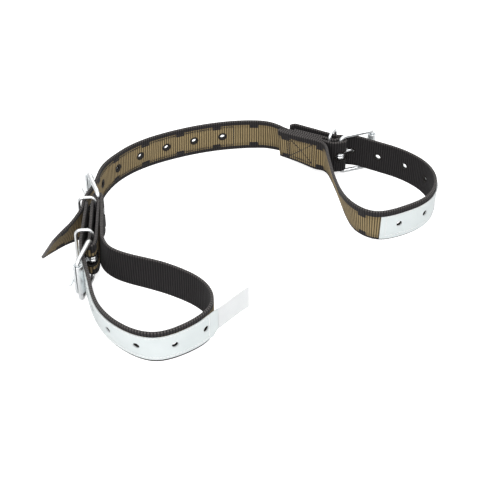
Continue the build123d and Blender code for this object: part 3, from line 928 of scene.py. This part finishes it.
# Where one border notch stands on each strap that shows its olive face
CENTRE_NOTCH = (-0.0310, 0.1682)
RIGHT_NOTCH = (0.0847, 0.1294)
LEFT_NOTCH_PAST_LOOP = 20 * MM
BLACK = webbing("webbing_black")
SELVEDGE = selvedge()
STRIP = white_strip()
STRIP_EDGE = cut_edge()
ZINC_WIRE = zinc("zinc_wire", 0.30, 1400.0)
ZINC_SHEET = zinc("zinc_sheet", 0.40, 900.0)
THREAD_DARK = thread("thread_dark", (0.006, 0.005, 0.005), (0.03, 0.022, 0.016))
THREAD_PALE = thread("thread_pale", (0.60, 0.62, 0.62), (0.85, 0.86, 0.86))
TAG = woven_tag()
OLIVE_LEFT = webbing("webbing_olive_left", left_loop_start + LEFT_NOTCH_PAST_LOOP)
RIGHT_LOWERED = 1.8 * MM
OLIVE_RIGHT = webbing(
    "webbing_olive_right", right_line.nearest(RIGHT_NOTCH), lowered=RIGHT_LOWERED
)
OLIVE_CENTRE = webbing("webbing_olive_centre", centre_line.nearest(CENTRE_NOTCH), MELTED_AND_SHADED_RIM)


# ------------------------------------------------------------------ straps
def across(piece, first, second, place, way, before, after):
    """Bakes a piece's placement into its mesh."""
    way = Vector((way[0], way[1], 0)).normalized()
    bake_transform(piece)


centre_middle = (arc_start + arc_end) / 2
centre_cuts = []
for node in ("centre_strap", "centre_buckle_end"):
    for middle, straight, radius in holes_of(node, centre_line, until=run_end):
        centre_cuts.append((middle, straight, min(radius, MELTED_HOLE_RADIUS)))


def to_right_cuff(piece):
    way = centre_line.way_at(arc_start)
    across(piece, "right_cuff", "centre", right_flex, way, 10 * MM, 25 * MM)


def to_left_cuff(piece):
    way = centre_line.way_at(arc_end)
    across(piece, "centre", "left_cuff", left_flex, way, 25 * MM, 8 * MM)


CENTRE_FACES = [OLIVE_CENTRE, BLACK, SELVEDGE, BLACK]
sewn_part = sheet(
    "centre_webbing_sewn", centre_line, (0, centre_middle),
    WEB_LOW, WEB_HIGH, WEB_THICK, centre_cuts, RIB_HEIGHT, CENTRE_FACES,
)
to_right_cuff(sewn_part)
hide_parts("centre_sewn_end")
free_part = sheet(
    "centre_webbing_free", centre_line, (centre_middle, centre_line.length),
    WEB_LOW, WEB_HIGH, WEB_THICK, centre_cuts, RIB_HEIGHT, CENTRE_FACES,
)
to_left_cuff(free_part)
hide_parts("centre_strap", "centre_buckle_end")

FOLD_2_NARROW = 3.0 * MM
FOLD_2_REACH = 10.0 * MM
FOLD_RADIUS = 4.0 * MM
WIRE_RADIUS = 2.3 * MM
bar_2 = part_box("buckle_frame_2")[1].xy - Vector((1, 1)) * WIRE_RADIUS
from_bar = np.linalg.norm(left_line.points - np.array(bar_2), axis=1)
close = (from_bar < FOLD_RADIUS + 1 * MM) & (left_line.along < left_loop_start / 2)
around_bar = left_line.along[close]
fold_2 = (around_bar.min() + around_bar.max()) / 2


def fold_2_trim(along):
    """The webbing is drawn in below the round buckle 2."""
    share = np.clip(1 - np.abs(along - fold_2) / FOLD_2_REACH, 0, 1)
    return FOLD_2_NARROW * np.sqrt(share)


left_web = sheet(
    "left_webbing", left_line, (0, left_line.length), WEB_LOW, WEB_HIGH, WEB_THICK,
    holes_of("left_cuff_strap", left_line), RIB_HEIGHT, [OLIVE_LEFT, BLACK, SELVEDGE, BLACK],
    trim=fold_2_trim, flipped=[(0, left_loop_start + 5 * MM)],
)
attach(left_web, "left_cuff")
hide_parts("left_cuff_strap")

# The hole that holds tongue 3 is drawn narrow, and shorter on the side away from the buckle
TONGUE_3_CLOSED = 6.0 * MM
right_cuts = []
for middle, straight, radius in holes_of("right_cuff_strap", right_line):
    if middle > right_line.length / 2 and straight > 0:
        middle += TONGUE_3_CLOSED / 2
        straight += radius - TONGUE_HOLE_RADIUS - TONGUE_3_CLOSED / 2
        radius = TONGUE_HOLE_RADIUS
    right_cuts.append((middle, straight, radius))
right_web = sheet(
    "right_webbing", right_line, (0, right_line.length), WEB_LOW, WEB_HIGH, WEB_THICK,
    right_cuts, RIB_HEIGHT, [BLACK, OLIVE_RIGHT, SELVEDGE, BLACK],
)
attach(right_web, "right_cuff")
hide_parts("right_cuff_strap")

# ------------------------------------------------------------------ white strips and the tag
STRIP_FACES = [STRIP, STRIP, STRIP_EDGE, STRIP_EDGE]
strip_low, strip_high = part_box("left_strip")[0].z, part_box("left_strip")[1].z
STRIP_STEP = 0.8 * MM
CHAMFER = 6.5 * MM
LEFT_DROP = 1.0 * MM
RIGHT_DROP = 2.2 * MM


def strip_piece(name, node, parent, begin, side, drop, trim=None):
    """A cuff's punched strip, sewn on a little below the strap's middle."""
    line = side_line(node, STRIP_NODE_THICK, strip_low, begin, side)
    line.follow(parent)
    piece = sheet(
        name, line, (0, line.length), strip_low - drop, strip_high - drop, STRIP_THICK,
        holes_of(node, line, STRIP_THICK), 0.0, STRIP_FACES, STRIP_STEP, trim,
    )
    return piece, line


def chamfer(along):
    """How far the left strip's free end is cut off below."""
    return np.clip(CHAMFER - along, 0, CHAMFER)


left_strip, left_strip_line = strip_piece(
    "left_strip_sheet", "left_strip", left_line, (-0.0260, -0.1430), 1, LEFT_DROP, chamfer
)
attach(left_strip, "left_cuff")
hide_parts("left_strip")
right_strip, right_strip_line = strip_piece(
    "right_strip_sheet", "right_strip", right_line, (0.1100, 0.0100), -1, RIGHT_DROP
)
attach(right_strip, "right_cuff")
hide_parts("right_strip")

outer_1 = side_line("centre_strip", STRIP_NODE_THICK, strip_low, (-0.0110, 0.1780), 1)
outer_2 = side_line("centre_strip_end", STRIP_NODE_THICK, strip_low, (-0.1590, 0.0710), 1)
outer_points = np.concatenate([outer_1.points, outer_2.points])
outer_line = Line(smoothed(even(outer_points, POINT_STEP), 4))
outer_line.follow(centre_line)
outer_cuts = []
for node in ("centre_strip", "centre_strip_end"):
    outer_cuts += holes_of(node, outer_line, STRIP_THICK)
outer_strip = sheet(
    "centre_strip_sheet", outer_line, (0, outer_line.length), strip_low, strip_high, STRIP_THICK,
    outer_cuts, 0.0, STRIP_FACES, STRIP_STEP,
)
to_left_cuff(outer_strip)
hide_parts("centre_strip", "centre_strip_end")

TAG_CURL = 1.5 * MM
TAG_STEP = 0.6 * MM
tag_corners = np.array([v.co for v in frame["nodes"]["tag"].data.vertices])
tag_low, tag_high = tag_corners[:, 2].min(), tag_corners[:, 2].max()
free_end = left_strip_line.points[0]
away = np.linalg.norm(tag_corners[:, :2] - free_end, axis=1)
tag_near = tag_corners[away < away.min() + 2 * MM][:, :2].mean(axis=0)
tag_far = tag_corners[away > away.max() - 2 * MM][:, :2].mean(axis=0)
tag_way = (tag_far - tag_near) / np.linalg.norm(tag_far - tag_near)
tag_side = np.array([-tag_way[1], tag_way[0]])
tag_first_arm = tag_near + (tag_far - tag_near) * 0.4
tag_last_arm = tag_far - tag_way * 14 * MM + tag_side * TAG_CURL
tag_line = Line(bezier(tag_near, tag_first_arm, tag_last_arm, tag_far))
tag_line.follow(left_line)
tag = sheet(
    "tag_tape", tag_line, (0, tag_line.length), tag_low, tag_high, TAG_THICK,
    [], 0.0, [TAG] * 4, TAG_STEP,
)
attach(tag, "left_cuff")
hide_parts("tag")

# ------------------------------------------------------------------ sewing
WEB_FACE = WEB_THICK / 2 - 0.05 * MM
STRIP_FACE = STRIP_THICK / 2
ROW_PAST_STACK = 52 * MM
row_start = arc_start + ROW_PAST_STACK
centre_runs = []
for height in (ROW_LOW, ROW_HIGH):
    centre_runs += row_of_stitches(centre_line, row_start, arc_end, height, WEB_FACE)
centre_runs += column_of_stitches(centre_line, row_start, ROW_LOW, ROW_HIGH, WEB_FACE)
centre_sewing = stitches("centre_stitches", centre_runs, THREAD_DARK)
to_left_cuff(centre_sewing)
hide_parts("centre_thread")

STRIP_ROW_SHORT = 52 * MM
for name, line, side, begin, body, node in (
    ("left_stitches", left_strip_line, 1, 12 * MM, "left_cuff", "left_thread"),
    ("right_stitches", right_strip_line, -1, 6 * MM, "right_cuff", "right_thread"),
):
    finish = line.length - STRIP_ROW_SHORT
    runs = []
    for height in (ROW_LOW, ROW_HIGH):
        runs += row_of_stitches(line, begin, finish, height, side * STRIP_FACE)
    runs += column_of_stitches(line, begin, ROW_LOW, ROW_HIGH, side * STRIP_FACE)
    sewing = stitches(name, runs, THREAD_PALE)
    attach(sewing, body)
    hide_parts(node)

# The crossed box holds the three layers of the right stack together
BOX_LENGTH = 29 * MM
BOX_START = right_loop_start - 39 * MM
BOX_END = BOX_START + BOX_LENGTH
BOX_LOW = WEB_MIDDLE - 13 * MM
BOX_HIGH = WEB_MIDDLE + 13 * MM
box_runs = []
for height in (BOX_LOW, BOX_HIGH):
    box_runs += row_of_stitches(right_line, BOX_START, BOX_END, height, -WEB_FACE)
for place in (BOX_START - 3 * MM, BOX_START, BOX_END, BOX_END + 5 * MM):
    box_runs += column_of_stitches(right_line, place, BOX_LOW, BOX_HIGH, -WEB_FACE)
box_runs += slanted_stitches(right_line, (BOX_START, BOX_LOW), (BOX_END, BOX_HIGH), -WEB_FACE)
box_runs += slanted_stitches(right_line, (BOX_START, BOX_HIGH), (BOX_END, BOX_LOW), -WEB_FACE)
box_sewing = stitches("box_stitches", box_runs, THREAD_DARK)
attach(box_sewing, "right_cuff")
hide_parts("box_stitch")


# ------------------------------------------------------------------ hardware
def finish_with(node, material):
    slots = frame["nodes"][node].data.materials
    slots.clear()
    slots.append(material)


for number in "123":
    finish_with("buckle_frame_" + number, ZINC_WIRE)
    finish_with("buckle_tongue_" + number, ZINC_WIRE)
    finish_with("keeper_" + number, ZINC_WIRE)
    node = "buckle_roller_" + number
    tube = rolled_tube("rolled_tube_" + number, node, ZINC_SHEET)
    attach(tube, "roller_" + number)
    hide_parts(node)

# ------------------------------------------------------------------ floor, light and camera
FOCUS = Vector((-0.00441, 0.0050, WEB_LOW))
ELEVATION = math.radians(38.5)
DISTANCE = 1.19
LENS = 84.75


def pale_floor():
    """A matt floor that glows a little, so that shadows stay faint."""
    mesh = bpy.data.meshes.new("floor")
    mesh.from_pydata([(-6, -6, 0), (6, -6, 0), (6, 6, 0), (-6, 6, 0)], [], [(0, 1, 2, 3)])
    floor = bpy.data.objects.new("floor", mesh)
    bpy.context.scene.collection.objects.link(floor)
    g = Shader("floor_pale")
    mesh.materials.append(g.finish((0.75, 0.75, 0.75), 0.9, specular=0.0))
    g.surface.inputs["Emission Color"].default_value = (1, 1, 1, 1)
    seen = g.tree.nodes.new("ShaderNodeLightPath").outputs["Is Camera Ray"]
    g.put(g.surface.inputs["Emission Strength"], g.math("MULTIPLY", seen, 0.72))


def studio_world():
    """Even white light, which shiny metal sees with darker bands like a tent's black cards."""
    world = bpy.data.worlds.new("studio")
    bpy.context.scene.world = world
    world.use_nodes = True
    tree = world.node_tree
    plain = tree.nodes["Background"]
    plain.inputs[0].default_value = (1, 1, 1, 1)
    plain.inputs[1].default_value = 0.72
    banded = tree.nodes.new("ShaderNodeBackground")
    ramp = tree.nodes.new("ShaderNodeValToRGB")
    split = tree.nodes.new("ShaderNodeSeparateXYZ")
    seen = tree.nodes.new("ShaderNodeTexCoord")
    tree.links.new(seen.outputs["Generated"], split.inputs[0])
    tree.links.new(split.outputs[2], ramp.inputs[0])
    stops = ramp.color_ramp.elements
    stops[0].position, stops[0].color = 0.0, (0.85, 0.85, 0.85, 1)
    stops[1].position, stops[1].color = 1.0, (1, 1, 1, 1)
    for position, shade in ((0.10, 0.35), (0.22, 0.25), (0.34, 0.9), (0.8, 1.0)):
        stop = stops.new(position)
        stop.color = (shade, shade, shade, 1)
    tree.links.new(ramp.outputs[0], banded.inputs[0])
    banded.inputs[1].default_value = 1.05
    path = tree.nodes.new("ShaderNodeLightPath")
    mix = tree.nodes.new("ShaderNodeMixShader")
    tree.links.new(path.outputs["Is Glossy Ray"], mix.inputs[0])
    tree.links.new(plain.outputs[0], mix.inputs[1])
    tree.links.new(banded.outputs[0], mix.inputs[2])
    tree.links.new(mix.outputs[0], tree.nodes["World Output"].inputs[0])


def soft_light(name, place, size, power):
    light = bpy.data.lights.new(name, "AREA")
    light.shape = "RECTANGLE"
    light.size = size
    light.size_y = size
    light.energy = power
    piece = bpy.data.objects.new(name, light)
    piece.location = place
    piece.rotation_euler = (-Vector(place)).to_track_quat("-Z", "Y").to_euler()
    bpy.context.scene.collection.objects.link(piece)


pale_floor()
studio_world()
soft_light("key", (-0.5, -1.4, 1.1), 1.2, 19)
soft_light("fill", (1.0, -0.6, 1.3), 1.2, 8)
soft_light("back", (0.2, 1.3, 1.2), 1.4, 7)

camera_data = bpy.data.cameras.new("camera")
camera_data.lens = LENS
camera_data.sensor_width = 36.0
camera = bpy.data.objects.new("camera", camera_data)
bpy.context.scene.collection.objects.link(camera)
camera.location = FOCUS + DISTANCE * Vector((0, -math.cos(ELEVATION), math.sin(ELEVATION)))
camera.rotation_euler = (FOCUS - camera.location).to_track_quat("-Z", "Y").to_euler()
bpy.context.scene.camera = camera
bpy.context.scene.view_settings.view_transform = "Standard"
